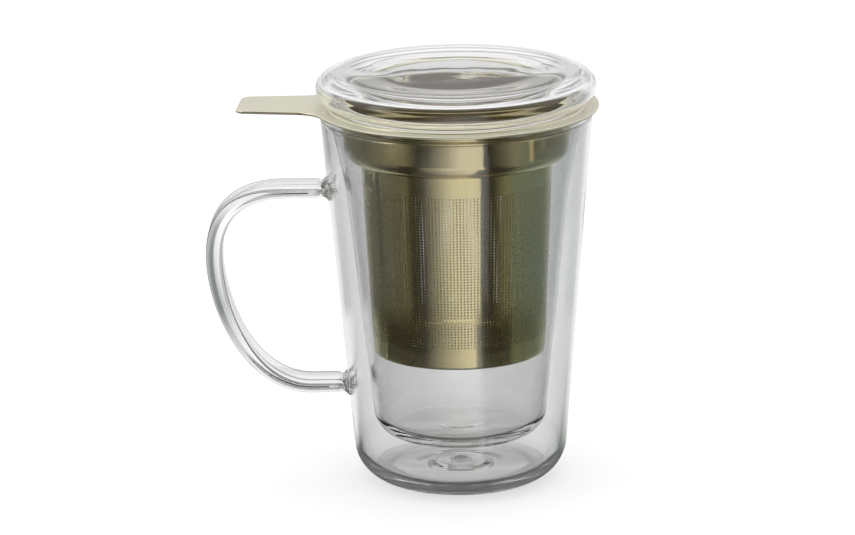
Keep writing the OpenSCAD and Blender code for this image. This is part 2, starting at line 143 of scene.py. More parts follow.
CUP_CORNER_Z = CUP_FLOOR_Z + CUP_R
CUP_CORNER_X = cup_out(CUP_CORNER_Z) - CUP_R / math.cos(CUP_LEAN)
FOOT_IN_R = CORNER_X - FOOT_RING_W
FLANGE_TOP = FLANGE_Z + FLANGE_T
COLLAR_R = cup_in(COLLAR_Z + COLLAR_CORNER_R) - COLLAR_CLEAR
LIP_R = COLLAR_R + LIP_W
SLEEVE_TOP_Z = COLLAR_Z + COLLAR_WALL
SLEEVE_LOW_R = cup_in(BASKET_Z) - SLEEVE_CLEAR
SLEEVE_SLOPE = (COLLAR_R - SHOULDER_W - SLEEVE_LOW_R) / (COLLAR_Z - BASKET_Z)
PAN_TOP = BASKET_Z + PAN_H
LID_Z = FLANGE_TOP + LID_GAP
LID_FOOT_IN = LIP_R + LID_PLAY
LID_FOOT_OUT = LID_FOOT_IN + LID_FOOT_W
LID_R = FLANGE_R - LID_INSET
BELLY_Z = LID_Z + LID_BELLY_H
LID_TOP = LID_Z + LID_H
CREST_R = LID_R - LID_CREST_IN
DISH_R = CREST_R - DISH_SLOPE_W
BEAD_MID = LID_FOOT_OUT + LID_PLAY + BEAD_W / 2


def sleeve_out(z):
    return SLEEVE_LOW_R + SLEEVE_SLOPE * (z - BASKET_Z)


# ---------------------------------------------------------------- mesh tools
def share(value):
    """The value, held between 0 and 1."""
    return min(1.0, max(0.0, value))


def bump_at(distance, width):
    """A round swelling: 1 in its middle, fading over the given width."""
    return math.exp(-(distance / width) ** 2)


def arc(cx, cz, rx, rz, start, end, steps):
    """Points on an ellipse's arc; angles in degrees."""
    angles = [math.radians(start + (end - start) * i / steps) for i in range(steps + 1)]
    return [(cx + rx * math.cos(a), cz + rz * math.sin(a)) for a in angles]


def ease(r0, z0, r1, z1, steps):
    """Points on a smooth S from one level to another."""
    points = []
    for i in range(steps + 1):
        t = i / steps
        points.append((r0 + (r1 - r0) * t, z1 + (z0 - z1) * (1 + math.cos(math.pi * t)) / 2))
    return points


def line(r0, z0, r1, z1, steps):
    """Points between two ends, both left out."""
    return [(r0 + (r1 - r0) * i / steps, z0 + (z1 - z0) * i / steps) for i in range(1, steps)]


def follow(edge, z0, z1, steps, first=0):
    """Points on a wall whose radius at each height is edge(z)."""
    heights = [z0 + (z1 - z0) * i / steps for i in range(first, steps + 1)]
    return [(edge(z), z) for z in heights]


def wave(x, y, z, size, seed):
    """Smooth noise from about -1 to 1, with features of the given size."""
    return noise.noise(Vector((x / size + seed, y / size - seed, z / size + 0.37 * seed)))


def mesh_object(name, points, faces, sharp=30.0):
    mesh = bpy.data.meshes.new(name)
    mesh.from_pydata([(x * MM, y * MM, z * MM) for x, y, z in points], [], faces)
    mesh.validate()
    mesh.shade_smooth()
    mesh.set_sharp_from_angle(angle=math.radians(sharp))
    mesh.update()
    piece = bpy.data.objects.new(name, mesh)
    bpy.context.scene.collection.objects.link(piece)
    return piece


def lathe(name, profiles, bend=None, segments=SEGMENTS, sharp=30.0):
    """Surfaces of revolution in one mesh. A profile runs so that its outside lies on its right,
    and bend(x, y, z) gives a point's small shift."""
    points, faces = [], []
    for profile in profiles:
        rings = []
        for r, z in profile:
            if r < 1e-6:
                rings.append([len(points)] * segments)
                points.append((0.0, 0.0, z))
                continue
            rings.append(list(range(len(points), len(points) + segments)))
            for k in range(segments):
                a = 2 * math.pi * k / segments
                points.append((r * math.cos(a), r * math.sin(a), z))
        pairs = list(zip(rings, rings[1:]))
        if profile[0][0] > 1e-6 and profile[-1][0] > 1e-6:
            pairs.append((rings[-1], rings[0]))
        for low, high in pairs:
            for k in range(segments):
                n = (k + 1) % segments
                corners = [low[k], low[n], high[n], high[k]]
                face = [c for i, c in enumerate(corners) if c != corners[i - 1]]
                if len(face) > 2:
                    faces.append(face)
    if bend:
        points = [tuple(c + d for c, d in zip(p, bend(*p))) for p in points]
    return mesh_object(name, points, faces, sharp)


def loft(name, rings, closed, sharp=30.0):
    """Skin over rings of points of equal length. An open loft gets a flat cap at each end."""
    count = len(rings[0])
    points = [p for ring in rings for p in ring]
    faces = []
    spans = len(rings) if closed else len(rings) - 1
    for i in range(spans):
        a, b = i * count, (i + 1) % len(rings) * count
        for k in range(count):
            n = (k + 1) % count
            faces.append((a + k, a + n, b + n, b + k))
    if not closed:
        faces.append(list(range(count - 1, -1, -1)))
        faces.append(list(range(len(points) - count, len(points))))
    return mesh_object(name, points, faces, sharp)


# ---------------------------------------------------------------- mug glass
def mug_profile():
    """Outer and inner glass as one skin, from the cup's floor over the rim, the foot and the air gap."""
    lean, cup_lean = -math.degrees(WALL_LEAN), -math.degrees(CUP_LEAN)
    low = CUP_CORNER_Z + 1  # where the cup's wall goes on above its corner

    floor_top = CUP_FLOOR_Z + CUP_FLOOR_T
    inside = [(0, floor_top), (3, floor_top)] + line(3, floor_top, CUP_CORNER_X, floor_top, 48)
    inside += arc(CUP_CORNER_X, CUP_CORNER_Z, CUP_R - CUP_WALL, CUP_R - CUP_FLOOR_T, -90, cup_lean, 20)
    inside += follow(cup_in, low, FLARE_Z, 16) + follow(cup_in, FLARE_Z, JOIN_Z, 14, 1)

    top = MUG_H - RIM_ROUND
    mid, half = (wall_out(top) + cup_in(top)) / 2, (wall_out(top) - cup_in(top)) / 2
    rim = arc(mid, top, half, RIM_ROUND, 180, 0, 24)

    outside = line(wall_out(top), top, wall_out(BASE_R), BASE_R, 24)
    outside += arc(CORNER_X, BASE_R, BASE_R, BASE_R, lean, -90, 24)
    outside += line(CORNER_X, 0, FOOT_IN_R, 0, 3)
    outside += ease(FOOT_IN_R + FOOT_ROLL, 0, BOSS_R, BOSS_RISE, 10)
    outside += ease(BOSS_R, BOSS_RISE, PLUG_R + BOSS_IN, KICK, 10)[1:]
    outside += line(PLUG_R + BOSS_IN, KICK, VENT_R, KICK, 4)

    vent_top = KICK + BASE_T
    vent = [(VENT_R + VENT_CHAMFER, KICK), (VENT_R, KICK + VENT_CHAMFER)]
    vent += [(VENT_R, vent_top - VENT_CHAMFER), (VENT_R + VENT_CHAMFER, vent_top)]

    gap = line(VENT_R + VENT_CHAMFER, vent_top, PLUG_R, vent_top, 4)
    gap += ease(PLUG_R, vent_top, BOSS_R, BASE_T, 12)
    gap += line(BOSS_R, BASE_T, CORNER_X, BASE_T, 8)
    gap += arc(CORNER_X, BASE_R, BASE_R - OUTER_WALL, BASE_R - BASE_T, -90, lean, 24)
    gap += line(wall_in(BASE_R), BASE_R, wall_in(JOIN_Z), JOIN_Z, 24)
    roof = (wall_in(JOIN_Z) + cup_out(JOIN_Z)) / 2
    gap += arc(roof, JOIN_Z, GAP_RIM / 2, GAP_POINT_H, 0, 180, 14)
    gap += follow(cup_out, JOIN_Z, FLARE_Z, 14, 1) + follow(cup_out, FLARE_Z, low, 16, 1)
    gap += arc(CUP_CORNER_X, CUP_CORNER_Z, CUP_R, CUP_R, cup_lean, -90, 20)
    gap += line(CUP_CORNER_X, CUP_FLOOR_Z, 0, CUP_FLOOR_Z, 6) + [(0, CUP_FLOOR_Z)]
    return inside + rim + outside + vent + gap


def mug_bend(x, y, z):
    """Blown glass is never quite round: the walls wander a little and the floors ripple."""
    r = math.hypot(x, y)
    if r < 1e-6:
        return (0.0, 0.0, 0.0)
    side = WANDER * wave(x, y, z, WANDER_SIZE, 3.1) * (share(z / 6.0) * share((MUG_H - z) / 8.0))
    on_outside = r > wall_out(z) - 0.5
    side = min(side, 0.0) if on_outside else side
    floor = 0.0
    on_a_floor = 2.5 < z < 20
    on_cup_floor = abs(z - CUP_FLOOR_Z - CUP_FLOOR_T) < 0.1
    if r < RIPPLE_R and on_a_floor:
        floor = RIPPLE * wave(x, y, z, RIPPLE_SIZE, 7.7) * share((RIPPLE_R - r) / RIPPLE_FADE)
    if r < 14 and on_cup_floor:
        front_half = max(0.0, -y / r) ** 1.5
        floor -= MARK_DEPTH * bump_at(r - MARK_R, MARK_W) * front_half
    return (side * x / r, side * y / r, floor)


mug_glass = lathe("mug_glass", [mug_profile()[::-1]], mug_bend)

plug_glass = lathe("vent_button", [[
    (0, KICK - PLUG_T),
    (PLUG_R - PLUG_FACE_IN, KICK - PLUG_T),
    *arc(PLUG_R - PLUG_EDGE_IN, KICK - PLUG_T + PLUG_EDGE_R, PLUG_EDGE_R, PLUG_EDGE_H, -90, 60, 6),
    (PLUG_R - PLUG_SEAT_IN, KICK - HAIR),
    (VENT_R + HAIR, KICK - HAIR),
    (VENT_R + HAIR, KICK + BASE_T + HAIR),
    (VENT_R + PLUG_BARB_W, KICK + BASE_T + HAIR),
    *arc(0, KICK + BASE_T + 0.1, VENT_R + PLUG_BARB_W - 0.1, PLUG_BARB_H - 0.1, 0, 90, 14),
]], segments=96)


# ---------------------------------------------------------------- handle
def cubic(p0, p1, p2, p3, t):
    u = 1 - t
    weights = (u * u * u, 3 * u * u * t, 3 * u * t * t, t * t * t)
    return tuple(sum(w * p[i] for w, p in zip(weights, (p0, p1, p2, p3))) for i in range(2))


def handle_centreline():
    top_x, low_x = wall_out(HANDLE_TOP_Z), wall_out(HANDLE_LOW_Z)
    crown_x, crown_z = wall_out(HANDLE_CROWN_Z) + HANDLE_REACH, HANDLE_CROWN_Z
    bend_x, arm_z = top_x + TOP_ARM, HANDLE_TOP_Z
    pull_top = (bend_x + (crown_x - bend_x) * TOP_PULL, arm_z)
    pull_up = (crown_x, crown_z + (arm_z - crown_z) * CROWN_PULL_UP)
    upper = ((bend_x, arm_z), pull_top, pull_up, (crown_x, crown_z))
    bend_x, arm_z = low_x + LOW_ARM, HANDLE_LOW_Z
    pull_down = (crown_x, crown_z - (crown_z - arm_z) * CROWN_PULL_DOWN)
    pull_low = (bend_x + (crown_x - bend_x) * LOW_PULL, arm_z)
    lower = ((crown_x, crown_z), pull_down, pull_low, (bend_x, arm_z))
    points = [(top_x + d, HANDLE_TOP_Z) for d in ARM_STEPS if d < TOP_ARM]
    points += [cubic(*upper, i / 44) for i in range(45)]
    points += [cubic(*lower, i / 52) for i in range(1, 53)]
    points += [(low_x + d, HANDLE_LOW_Z) for d in reversed(ARM_STEPS) if d < LOW_ARM]
    return points


def handle_shades_at(z):
    """How much painted shade the glass gets at a height, standing in for dark reflections: the outer corners,
    the inner corners, the line along the side.
    """
    outer = share((OUTER_TOP_Z - z) / OUTER_TOP_FADE) * share((z - SHADE_LOW_Z) / OUTER_LOW_FADE)
    inner = INNER_SHADE * share((INNER_TOP_Z - z) / INNER_FADE)
    side_line_shade = SIDE_LINE_SHADE * share((SIDE_LINE_TOP_Z - z) / SIDE_LINE_TOP_FADE)
    side_line_shade *= share((z - SHADE_LOW_Z) / SIDE_LINE_LOW_FADE)
    return outer, inner, side_line_shade


def handle_section(half_t, half_w, z):
    """Cross-section of the strip with rounded corners, as (across, side, shade) points."""
    outer_r = min(HANDLE_EDGE_R, half_t - 0.1)
    inner_r = min(HANDLE_INNER_EDGE_R, half_t - 0.1)
    outer, inner, side_line_shade = handle_shades_at(z)
    out_at, in_at = half_t - outer_r, inner_r - half_t
    section = [(*p, outer) for p in arc(out_at, half_w - outer_r, outer_r, outer_r, 0, 90, 7)]
    section += [(*p, inner) for p in arc(in_at, half_w - inner_r, inner_r, inner_r, 90, 180, 7)]
    section += [(*p, inner) for p in arc(in_at, inner_r - half_w, inner_r, inner_r, 180, 270, 7)]
    section += [(in_at + 0.1, -half_w, 0.0), (in_at + 0.3, -half_w, side_line_shade), (in_at + 0.5, -half_w, 0.0)]
    section += [(out_at - 0.6, -half_w, 0.0), (out_at - 0.35, -half_w, max(outer, 0.8 * side_line_shade))]
    section += [(*p, outer) for p in arc(out_at, outer_r - half_w, outer_r, outer_r, 270, 360, 7)]
    return section


def handle_rings():
    """The strip's rings of points from the upper weld to the lower one, and each point's shade."""
    centre = handle_centreline()
    top_x, low_x = wall_out(HANDLE_TOP_Z), wall_out(HANDLE_LOW_Z)
    bend_x, crown_x = top_x + TOP_ARM, wall_out(HANDLE_CROWN_Z) + HANDLE_REACH
    rings, shades = [], []
    for i, (x, z) in enumerate(centre):
        before, after = centre[max(i - 1, 0)], centre[min(i + 1, len(centre) - 1)]
        dx, dz = after[0] - before[0], after[1] - before[1]
        size = math.hypot(dx, dz)
        normal = (-dz / size, dx / size)
        wall_x = top_x if z > HANDLE_MID_Z else low_x
        on_arm = z > HANDLE_TOP_Z - 0.01 or z < HANDLE_LOW_Z + 0.01
        root = x - wall_x if on_arm else math.inf
        rise = max(0.0, 1 - ((z - HANDLE_CROWN_Z) / (HANDLE_CROWN_Z - HANDLE_LOW_Z)) ** 2)
        swell = HANDLE_SWELL * rise * share((x - bend_x) / (crown_x - bend_x))
        weld = WELD_BEAD * bump_at(root, WELD_BEAD_W) - WELD_NECK * bump_at(root - WELD_NECK_X, WELD_NECK_W)
        ring = []
        for across, side, shade in handle_section((HANDLE_T + swell) / 2 + weld, HANDLE_W / 2 + weld, z):
            shades.append(shade)
            px, pz = x + normal[0] * across, z + normal[1] * across
            if root < WELD_REACH:  # lumpy glass that meets the mug's round wall
                lump = LUMP * wave(px, side, pz, LUMP_SIZE, 5.3) * bump_at(root - LUMP_X, LUMP_W)
                across, side = across * (1 + 0.3 * lump), side * (1 + 0.12 * lump)
                pz = z + normal[1] * across
                meet_x = math.sqrt(max(1.0, wall_out(pz) ** 2 - side ** 2)) + WELD_DEPTH
                px = x + (meet_x - wall_x) * share(1 - root / WELD_BLEND) + 0.3 * lump * share(root)
            ring.append((-px, side, pz))
        rings.append(ring)
    return rings, shades


handle_skin, handle_shades = handle_rings()
handle_glass = loft("handle_glass", handle_skin, closed=False, sharp=40)
# Each point's painted shade, which the handle's material reads
shade_layer = handle_glass.data.attributes.new("shade", "FLOAT", "POINT")
for point, shade in zip(shade_layer.data, handle_shades):
    point.value = shade


# ---------------------------------------------------------------- infuser
def tab_outline():
    """Angle and radius of the tab's half outline, from the flange to the middle of the tip."""
    end = FLANGE_R + TAB_L
    taper = (TAB_ROOT_W - TAB_TIP_W) / 2 / TAB_L
    fillet_y = TAB_ROOT_W / 2 + TAB_FILLET_R
    fillet_x = math.sqrt((FLANGE_R + TAB_FILLET_R) ** 2 - fillet_y ** 2)
    start = math.degrees(math.atan2(fillet_y, fillet_x)) + 180
    tip_half = TAB_ROOT_W / 2 - taper * TAB_L
    points = arc(fillet_x, fillet_y, TAB_FILLET_R, TAB_FILLET_R, start, 270, 20)
    corner = (end - TAB_CORNER_R, tip_half - TAB_CORNER_R)
    points += line(points[-1][0], points[-1][1], corner[0], tip_half, 10)
    points += arc(corner[0], corner[1], TAB_CORNER_R, TAB_CORNER_R, 90, 0, 12)
    points += [(end, corner[1] * (1 - i / 6)) for i in range(1, 7)]
    return [(math.atan2(y, x), math.hypot(x, y)) for x, y in points]


def flange_sections():
    """Sections of the plate at each angle, with the pressed bead round the lid's foot and the tab."""
    half = tab_outline()
    first = half[0][0]
    rest = 2 * math.pi - 2 * first
    count = 200
    outline = half[::-1] + [(-a, r) for a, r in half[:-1]]
    outline += [(first + rest * i / count, FLANGE_R) for i in range(1, count)]
    outline = sorted((a % (2 * math.pi), r) for a, r in outline)
    turn = math.pi - math.radians(TAB_TURN)
    low, top, soft = FLANGE_Z, FLANGE_TOP, FLANGE_SOFT
    bead = arc(BEAD_MID, top, BEAD_W / 2, BEAD_H, 180, 0, 10)
    groove = arc(BEAD_MID, low, BEAD_W / 4, BEAD_H, 0, 180, 8)
    toe = bead[-1][0] + BEAD_TOE
    sections = []
    for angle, reach in outline:
        flat = [toe + (reach - soft - toe) * i / 8 for i in range(8)]
        profile = [(COLLAR_R, top - SLIP), (COLLAR_R + 0.9, top)]
        profile += [(BEAD_MID - BEAD_W / 2 - BEAD_TOE, top)] + bead
        profile += [(r, top) for r in flat]
        profile += arc(reach - soft, top - soft, soft, soft, 90, 0, 5)
        profile += arc(reach - soft, low + soft, soft, soft, 0, -90, 5)
        profile += [(r, low) for r in reversed(flat)]
        profile += groove + [(COLLAR_R, low)]
        c, s = math.cos(angle + turn), math.sin(angle + turn)
        sections.append([(r * c, r * s, z) for r, z in profile])
    return sections


flange = loft("flange_plate", flange_sections(), closed=True)


def metal_bend(size, depth, seed):
    """Pressed sheet keeps a faint unevenness, longer along the axis than round it."""
    def bend(x, y, z):
        r = max(math.hypot(x, y), 1e-6)
        shift = depth * wave(x, y, z * 0.35, size, seed)
        return (shift * x / r, shift * y / r, 0.0)

    return bend


basket_bend = metal_bend(11.0, 0.045, 9.4)

corner_x, corner_z = COLLAR_R - COLLAR_CORNER_R, COLLAR_Z + COLLAR_CORNER_R
corner_in_r = COLLAR_CORNER_R - COLLAR_WALL
collar = lathe("collar_shell", [[
    (sleeve_out(COLLAR_Z) + SLIP, COLLAR_Z),
    *arc(corner_x, corner_z, COLLAR_CORNER_R, COLLAR_CORNER_R, -90, 0, 20),
    *line(COLLAR_R, corner_z, COLLAR_R, FLANGE_TOP - SLIP, 8),
    (COLLAR_R, FLANGE_TOP + SEAT),
    (LIP_R - 0.1, FLANGE_TOP + SEAT),
    *arc(LIP_R - LIP_T / 2, FLANGE_TOP + LIP_T / 2, LIP_T / 2, LIP_T / 2, -60, 90, 8),
    (COLLAR_R, FLANGE_TOP + LIP_T),
    *arc(COLLAR_R - COLLAR_WALL + LIP_ROUND, FLANGE_TOP + LIP_T - LIP_ROUND, -LIP_ROUND, LIP_ROUND, 90, 0, 6),
    *line(COLLAR_R - COLLAR_WALL, FLANGE_TOP, COLLAR_R - COLLAR_WALL, corner_z, 8),
    *arc(corner_x, corner_z, corner_in_r, corner_in_r, 0, -90, 20),
    (sleeve_out(SLEEVE_TOP_Z) + SLIP, SLEEVE_TOP_Z),
]], metal_bend(14.0, 0.05, 2.3))


def perforated_sleeve():
    """A sheet whose holes are real openings, on a grid of rows and columns."""
    pitch = (HOLES_HIGH_Z - HOLES_LOW_Z - HOLE_W) / (HOLE_ROWS - 1)
    half = HOLE_W / 2 / HOLES_MID_R
    angles = []
    for k in range(HOLE_COLUMNS):
        middle = 2 * math.pi * (k + 0.5) / HOLE_COLUMNS
        angles += [middle - half, middle + half]
    levels = [PAN_TOP]
    for i in range(HOLE_ROWS):
        levels += [HOLES_LOW_Z + i * pitch, HOLES_LOW_Z + i * pitch + HOLE_W]
    levels.append(SLEEVE_TOP_Z)
    top_r = sleeve_out(SLEEVE_TOP_Z)
    lip_r, lip_top = top_r + SLEEVE_LIP_W, SLEEVE_TOP_Z + SHEET
    profile = [(sleeve_out(z), z) for z in levels]
    profile += [(lip_r, SLEEVE_TOP_Z + SLIP), (lip_r, lip_top), (top_r - SHEET, lip_top)]
    inner_first = len(profile)
    profile += [(sleeve_out(z) - SHEET, z) for z in reversed(levels)]
    points = []
    for r, z in profile:
        for a in angles:
            x, y = r * math.cos(a), r * math.sin(a)
            shift = basket_bend(sleeve_out(z) * math.cos(a), sleeve_out(z) * math.sin(a), z)
            points.append(tuple(c + d for c, d in zip((x, y, z), shift)))

    # The sheet's faces: every second band of both sides has a hole in every second place
    count, total, last = len(angles), len(profile), len(levels) - 1
    inner_top = inner_first + last
    faces = []
    for j in range(total):
        nj = (j + 1) % total
        on_outside, on_inside = j < last, inner_first <= j < total - 1
        holed = on_outside and j % 2 == 1 or on_inside and (inner_top - 1 - j) % 2 == 1
        for k in range(1 if holed else 0, count, 2 if holed else 1):
            nk = (k + 1) % count
            faces.append((j * count + k, j * count + nk, nj * count + nk, nj * count + k))

    # Each hole's four walls, from the outer ring of corners to the inner one
    for j in range(1, last, 2):
        for k in range(0, count, 2):
            ring = [(j, k), (j, k + 1), (j + 1, k + 1), (j + 1, k)]
            deep = [(inner_top - row, column) for row, column in ring]
            for m in range(4):
                n = (m + 1) % 4
                faces.append([row * count + column for row, column in (ring[n], ring[m], deep[m], deep[n])])
    return mesh_object("perforated_sleeve", points, faces)


sleeve = perforated_sleeve()

pan_corner_x, pan_corner_z = sleeve_out(BASKET_Z) - PAN_CORNER_R, BASKET_Z + PAN_CORNER_R
pan_in_r = PAN_CORNER_R - SLEEVE_WALL
pan = lathe("basket_pan", [[
    (0, BASKET_Z),
    (8, BASKET_Z),
    *line(8, BASKET_Z, pan_corner_x, BASKET_Z, 6),
    *arc(pan_corner_x, pan_corner_z, PAN_CORNER_R, PAN_CORNER_R, -90, 0, 12),
    (sleeve_out(PAN_TOP), PAN_TOP),
    (sleeve_out(PAN_TOP) - SLEEVE_WALL, PAN_TOP),
    *arc(pan_corner_x, pan_corner_z, pan_in_r, pan_in_r, 0, -90, 8),
    (0, BASKET_Z + SLEEVE_WALL),
]], basket_bend)

# ---------------------------------------------------------------- lid
belly_w, dish_z, ceiling_z = LID_R - LID_FOOT_OUT, LID_TOP - DISH_DEPTH, LID_Z + LID_CEILING
hollow_r = LID_R - LID_WALL
ceiling_r = hollow_r - LID_CEILING_W
hollow_h = LID_BELLY_H - LID_FOOT_H - LID_UNDERCUT
lid_profile = [(0, ceiling_z)] + line(0, ceiling_z, ceiling_r, ceiling_z, 8)
lid_profile += arc(ceiling_r, ceiling_z - LID_CEILING_H, LID_CEILING_W, LID_CEILING_H, 90, 0, 24)
lid_profile += arc(LID_FOOT_IN, BELLY_Z, hollow_r - LID_FOOT_IN, hollow_h, -2, -86, 24)
lid_profile += [(LID_FOOT_IN, LID_Z + LID_HEEL_H), (LID_FOOT_IN, LID_Z + LID_FOOT_SOFT)]
lid_profile += [(LID_FOOT_IN + LID_FOOT_SOFT, LID_Z), (LID_FOOT_OUT - LID_FOOT_SOFT, LID_Z)]
lid_profile += [(LID_FOOT_OUT, LID_Z + LID_FOOT_SOFT)]
lid_profile += arc(LID_FOOT_OUT, BELLY_Z, belly_w, LID_BELLY_H - LID_FOOT_H, -88, 0, 30)
lid_profile += arc(CREST_R, BELLY_Z, LID_CREST_IN, LID_TOP - BELLY_Z, 3, 90, 40)
lid_profile += ease(CREST_R, LID_TOP, DISH_R, dish_z, 24)[1:]
lid_profile += line(DISH_R, dish_z, 0, dish_z, 10) + [(0, dish_z)]


def lid_bend(x, y, z):
    """The pressed dish keeps slow ripples, and the ceiling under it weaker ones."""
    fade = share((LID_RIPPLE_R - math.hypot(x, y)) / LID_RIPPLE_FADE)
    lift = 0.0
    if z > dish_z - 0.3:
        lift = DISH_RIPPLE * wave(x, y, 0.0, 15.0, 4.2) + DISH_GRAIN * wave(x, y, 0.0, 6.0, 1.7)
    elif z > ceiling_z - 0.1:
        lift = CEILING_RIPPLE * wave(x, y, 0.0, 11.0, 8.8)
    return (0.0, 0.0, lift * fade)


lid_glass = lathe("lid_glass", [lid_profile], lid_bend)


# ---------------------------------------------------------------- materials
GLASS_IOR = 1.47


def new_material(name):
    material = bpy.data.materials.new(name)
    material.use_nodes = True
    nodes, links = material.node_tree.nodes, material.node_tree.links
    nodes.clear()
    return material, nodes, links


def add(nodes, kind, **values):
    node = nodes.new(kind)
    for key, value in values.items():
        setattr(node, key, value)
    return node


def object_noise(nodes, links, scale, stretch, detail, rough=0.5):
    """Noise over the object's own coordinates, stretched along each axis."""
    place = add(nodes, "ShaderNodeTexCoord")
    shape = add(nodes, "ShaderNodeMapping")
    shape.inputs["Scale"].default_value = stretch
    pattern = add(nodes, "ShaderNodeTexNoise")
    pattern.inputs["Scale"].default_value = scale
    pattern.inputs["Detail"].default_value = detail
    pattern.inputs["Roughness"].default_value = rough
    links.new(place.outputs["Object"], shape.inputs["Vector"])
    links.new(shape.outputs["Vector"], pattern.inputs["Vector"])
    return pattern


def facing_mix(nodes, links, face, edge, blend):
    """A colour that goes from face to edge where the surface turns away."""
    layer = add(nodes, "ShaderNodeLayerWeight")
    layer.inputs["Blend"].default_value = blend
    mix = add(nodes, "ShaderNodeMix", data_type="RGBA")
    mix.inputs["A"].default_value = (*face, 1)
    mix.inputs["B"].default_value = (*edge, 1)
    links.new(layer.outputs["Facing"], mix.inputs["Factor"])
    return mix.outputs["Result"]


def bump_from(nodes, links, pattern, shader, strength, distance):
    bump = add(nodes, "ShaderNodeBump")
    bump.inputs["Strength"].default_value = strength
    bump.inputs["Distance"].default_value = distance
    links.new(pattern.outputs["Fac"], bump.inputs["Height"])
    links.new(bump.outputs["Normal"], shader.inputs["Normal"])


def smooth_range(nodes, start, end):
    """A smooth step from 0 at start to 1 at end."""
    step = add(nodes, "ShaderNodeMapRange", interpolation_type="SMOOTHSTEP")
    step.inputs["From Min"].default_value = start
    step.inputs["From Max"].default_value = end
    return step


def glass_material(name, tint, edge, ripple, rough=0.0):
    """Clear glass with painted shade towards its edges, where the surface turns away, standing in for the
    dark surroundings that the edges refract.
    """
    material, nodes, links = new_material(name)
    out = add(nodes, "ShaderNodeOutputMaterial")
    shader = add(nodes, "ShaderNodeBsdfPrincipled")
    links.new(facing_mix(nodes, links, tint, edge, 0.25), shader.inputs["Base Color"])
    shader.inputs["Roughness"].default_value = rough
    shader.inputs["IOR"].default_value = GLASS_IOR
    shader.inputs["Transmission Weight"].default_value = 1.0
    pattern = object_noise(nodes, links, 60.0, (1, 1, 0.5), 2.0)
    bump_from(nodes, links, pattern, shader, ripple, 0.0004)
    links.new(shader.outputs["BSDF"], out.inputs["Surface"])
    return material


def paint_handle_shade(material):
    """Painted shade: the strip's corners and a line along its side get a dark grey colour where its shade
    layer says, standing in for dark reflections in the glass.
    """
    nodes, links = material.node_tree.nodes, material.node_tree.links
    shader = next(n for n in nodes if n.type == "BSDF_PRINCIPLED")
    clear = shader.inputs["Base Color"].links[0].from_socket
    layer = add(nodes, "ShaderNodeAttribute", attribute_name="shade")
    mix = add(nodes, "ShaderNodeMix", data_type="RGBA")
    # The painted shade's dark grey
    mix.inputs["B"].default_value = (0.22, 0.23, 0.23, 1)
    links.new(layer.outputs["Fac"], mix.inputs["Factor"])
    links.new(clear, mix.inputs["A"])
    links.new(mix.outputs["Result"], shader.inputs["Base Color"])


def metal_material(name, face, edge, rough, spread, grain, grain_stretch):
    """Gold-tone coated steel: its colour leans towards the edge colour at a glancing look."""
    material, nodes, links = new_material(name)
    out = add(nodes, "ShaderNodeOutputMaterial")
    shader = add(nodes, "ShaderNodeBsdfPrincipled")
    shader.inputs["Metallic"].default_value = 1.0
    mottle = object_noise(nodes, links, 45.0, (1, 1, 0.4), 4.0)
    vary = add(nodes, "ShaderNodeMix", data_type="RGBA", blend_type="MULTIPLY")
    vary.inputs["Factor"].default_value = 0.12
    links.new(facing_mix(nodes, links, face, edge, 0.35), vary.inputs["A"])
    links.new(mottle.outputs["Color"], vary.inputs["B"])
    links.new(vary.outputs["Result"], shader.inputs["Base Color"])
    lines = object_noise(nodes, links, grain, grain_stretch, 3.0, 0.6)
    span = add(nodes, "ShaderNodeMapRange")
    span.inputs["To Min"].default_value = rough - spread
    span.inputs["To Max"].default_value = rough + spread
    links.new(lines.outputs["Fac"], span.inputs["Value"])
    links.new(span.outputs["Result"], shader.inputs["Roughness"])
    bump_from(nodes, links, lines, shader, 0.25, 0.00004)
    links.new(shader.outputs["BSDF"], out.inputs["Surface"])
    return material


# The body's glass gets a darker tint than the same glass in the handle and lid: painted shade for the grey
# its walls show
body_glass = glass_material("borosilicate_body", (0.905, 0.905, 0.905), (0.72, 0.722, 0.722), 0.10)
handle_clear = glass_material("borosilicate_handle", (0.985, 0.99, 0.99), (0.50, 0.52, 0.52), 0.06)
paint_handle_shade(handle_clear)
lid_clear = glass_material("borosilicate_lid", (0.96, 0.962, 0.965), (0.86, 0.86, 0.87), 0.14)
foot_satin = glass_material("borosilicate_foot", (0.88, 0.885, 0.885), (0.80, 0.805, 0.805), 0.10, rough=0.45)
silicone = glass_material("clear_silicone", (0.93, 0.94, 0.94), (0.86, 0.87, 0.87), 0.10, rough=0.08)

# Fineness of the metal's grain, and how it is stretched along x, y and z
SHEET_GRAIN = (220.0, (1, 1, 0.06))
DRAWN_GRAIN = (160.0, (0.3, 0.3, 3.0))
SATIN_GRAIN = (900.0, (1.0, 1.0, 1.0))
sleeve_gold = metal_material("gold_sheet", (0.97, 0.84, 0.42), (0.56, 0.60, 0.40), 0.045, 0.02, *SHEET_GRAIN)
collar_gold = metal_material("gold_drawn", (0.97, 0.84, 0.47), (0.58, 0.60, 0.42), 0.05, 0.02, *DRAWN_GRAIN)
# A darker, rougher copy of the gold for the inner faces: painted shade for the dim inside of the basket
shaded_inside_gold = metal_material("gold_inside_painted_shade", (0.55, 0.47, 0.28), (0.50, 0.46, 0.34), 0.42, 0.05, *SHEET_GRAIN)
flange_gold = metal_material("gold_satin", (0.84, 0.79, 0.60), (0.82, 0.80, 0.66), 0.36, 0.03, *SATIN_GRAIN)


def dress(piece, material, body, slot, *nodes):
    piece.data.materials.clear()
    piece.data.materials.append(material)
    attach(piece, body)
    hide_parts(*nodes)


def paint_faces(piece, material, chosen):
    """The faces for which chosen(centre, normal) holds, in metres, get a material of their own."""
    piece.data.materials.append(material)
    for face in piece.data.polygons:
        if chosen(face.center, face.normal):
            face.material_index = 1


def under_foot(centre, normal):
    spot = centre / MM
    return spot.z < FOOT_SATIN_H and math.hypot(spot.x, spot.y) > CORNER_X and normal.z < 0


def looks_inward(centre, normal):
    return normal.x * centre.x + normal.y * centre.y < 0


